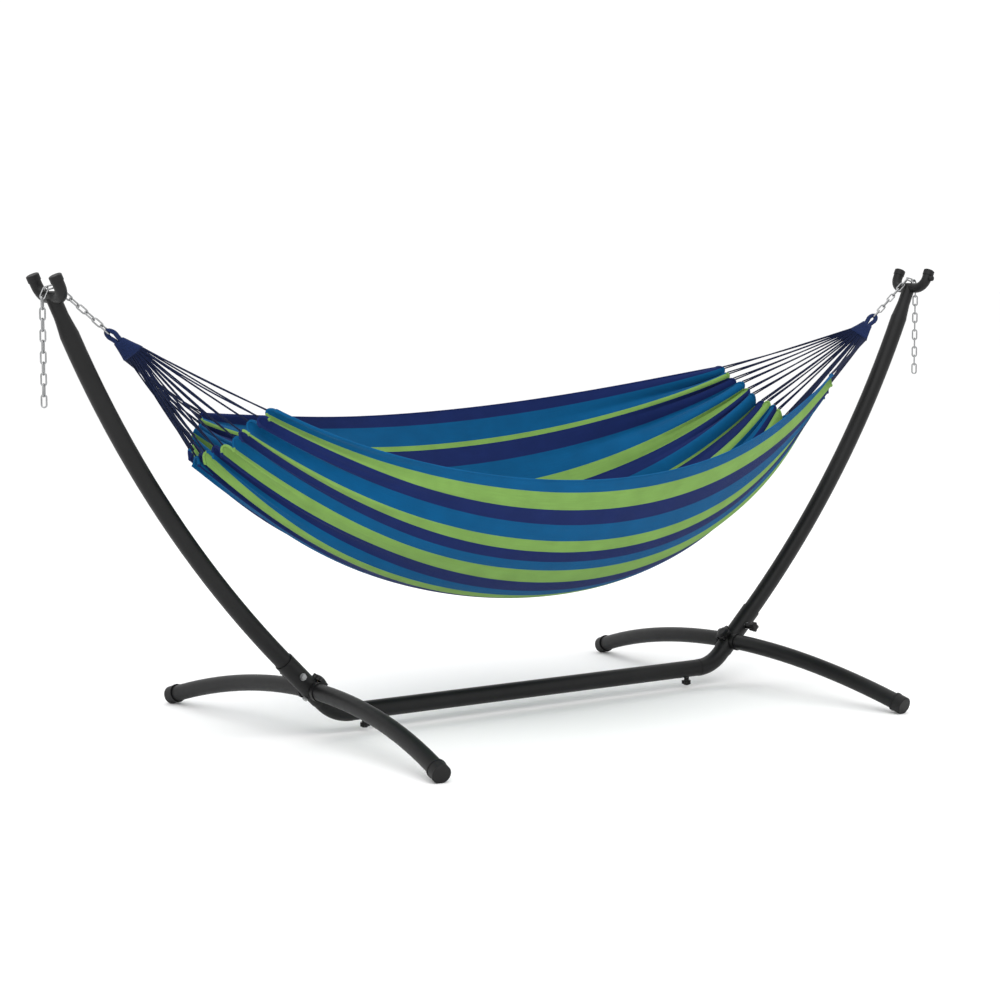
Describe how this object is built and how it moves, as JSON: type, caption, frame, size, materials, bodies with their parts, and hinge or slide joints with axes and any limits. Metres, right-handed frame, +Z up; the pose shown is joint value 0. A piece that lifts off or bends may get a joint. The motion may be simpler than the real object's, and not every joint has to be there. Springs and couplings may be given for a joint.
{
  "type": "hammock on stand",
  "caption": "Striped cloth hammock with navy suspension cords, hung by chains from a curved two-arm black tube stand on arched feet.",
  "frame": {"origin": "centre of the bounding box in plan, on the floor", "axes": "+X along the hammock, +Y away from the viewer in plan across it, +Z up"},
  "size_m": [2.7758, 1.2732, 1.1393],
  "materials": {
    "powder_coat": "satin black powder coat",
    "black_plastic": "moulded black plastic",
    "knob_plastic": "moulded black grip",
    "zinc_hardware": "zinc plated",
    "chain_steel": "bright zinc plated wire",
    "brass_insert": "turned brass",
    "navy_cord": "braided navy cord",
    "striped_cloth": "woven cotton in navy, teal and lime stripes"
  },
  "bodies": {
    "stand": {"base_bar": "powder_coat", "elbow_left": "powder_coat", "elbow_right": "powder_coat", "arm_left": "powder_coat", "arm_right": "powder_coat", "fork_left": "powder_coat", "fork_right": "powder_coat", "fork_caps_left": "black_plastic", "fork_caps_right": "black_plastic", "keeper_peg_right": "black_plastic", "foot_left": "powder_coat", "foot_right": "powder_coat", "foot_collars_left": "black_plastic", "foot_collars_right": "black_plastic", "foot_cap_left_front": "black_plastic", "foot_cap_left_back": "black_plastic", "foot_cap_right_front": "black_plastic", "foot_cap_right_back": "black_plastic", "weld_nut_left": "zinc_hardware", "weld_nut_right": "zinc_hardware", "foot_bolt_left": "zinc_hardware", "foot_bolt_right": "zinc_hardware", "arm_bolt_left": "zinc_hardware", "arm_bolt_right": "zinc_hardware", "arm_washers_left": "zinc_hardware", "arm_washers_right": "zinc_hardware", "saddle_links_left": "chain_steel", "saddle_links_right": "chain_steel"},
    "hammock": {"chain_left": "chain_steel", "chain_right": "chain_steel", "loop_left": "navy_cord", "loop_right": "navy_cord", "whipping_left": "navy_cord", "whipping_right": "navy_cord", "clews_left": "navy_cord", "clews_right": "navy_cord", "bed": "striped_cloth"},
    "tail_upper_left": {"tail_link_left": "chain_steel"},
    "tail_lower_left": {"chain_tail_left": "chain_steel"},
    "grip_base_left": {"knob_base_left": "knob_plastic", "base_stud_left": "zinc_hardware"},
    "grip_foot_left": {"knob_foot_left": "knob_plastic", "foot_insert_left": "brass_insert"},
    "grip_arm_left": {"knob_arm_left": "knob_plastic", "arm_insert_left": "brass_insert"},
    "tail_upper_right": {"tail_link_right": "chain_steel"},
    "tail_lower_right": {"chain_tail_right": "chain_steel"},
    "grip_base_right": {"knob_base_right": "knob_plastic", "base_stud_right": "zinc_hardware"},
    "grip_foot_right": {"knob_foot_right": "knob_plastic", "foot_insert_right": "brass_insert"},
    "grip_arm_right": {"knob_arm_right": "knob_plastic", "arm_insert_right": "brass_insert"}
  },
  "joints": [
    {"name": "hammock_swing", "type": "hinge", "parent": "stand", "child": "hammock", "pos_m": [0, 0, 1.09421], "axis": [1, 0, 0], "range_deg": [-15, 15]},
    {"name": "tail_out_left", "type": "hinge", "parent": "stand", "child": "tail_upper_left", "pos_m": [-1.37788, 0, 1.08293], "axis": [0, 1, 0], "range_deg": [-1.5, 35]},
    {"name": "tail_side_left", "type": "hinge", "parent": "tail_upper_left", "child": "tail_lower_left", "pos_m": [-1.37788, 0, 1.05843], "axis": [1, 0, 0], "range_deg": [-20, 20]},
    {"name": "turn_base_left", "type": "hinge", "parent": "stand", "child": "grip_base_left", "pos_m": [-0.523, 0, 0.02], "axis": [0, 0, -1], "continuous": true},
    {"name": "turn_foot_left", "type": "hinge", "parent": "stand", "child": "grip_foot_left", "pos_m": [-0.65397, 0, 0.14033], "axis": [0.7071, 0, 0.7071], "continuous": true},
    {"name": "turn_arm_left", "type": "hinge", "parent": "stand", "child": "grip_arm_left", "pos_m": [-0.7169, 0.045, 0.158], "axis": [0, 1, 0], "continuous": true},
    {"name": "tail_out_right", "type": "hinge", "parent": "stand", "child": "tail_upper_right", "pos_m": [1.37788, 0, 1.08293], "axis": [0, -1, 0], "range_deg": [-1.5, 35]},
    {"name": "tail_side_right", "type": "hinge", "parent": "tail_upper_right", "child": "tail_lower_right", "pos_m": [1.37788, 0, 1.05843], "axis": [1, 0, 0], "range_deg": [-20, 20]},
    {"name": "turn_base_right", "type": "hinge", "parent": "stand", "child": "grip_base_right", "pos_m": [0.523, 0, 0.02], "axis": [0, 0, -1], "continuous": true},
    {"name": "turn_foot_right", "type": "hinge", "parent": "stand", "child": "grip_foot_right", "pos_m": [0.65397, 0, 0.14033], "axis": [-0.7071, 0, 0.7071], "continuous": true},
    {"name": "turn_arm_right", "type": "hinge", "parent": "stand", "child": "grip_arm_right", "pos_m": [0.7169, -0.045, 0.158], "axis": [0, -1, 0], "continuous": true}
  ]
}
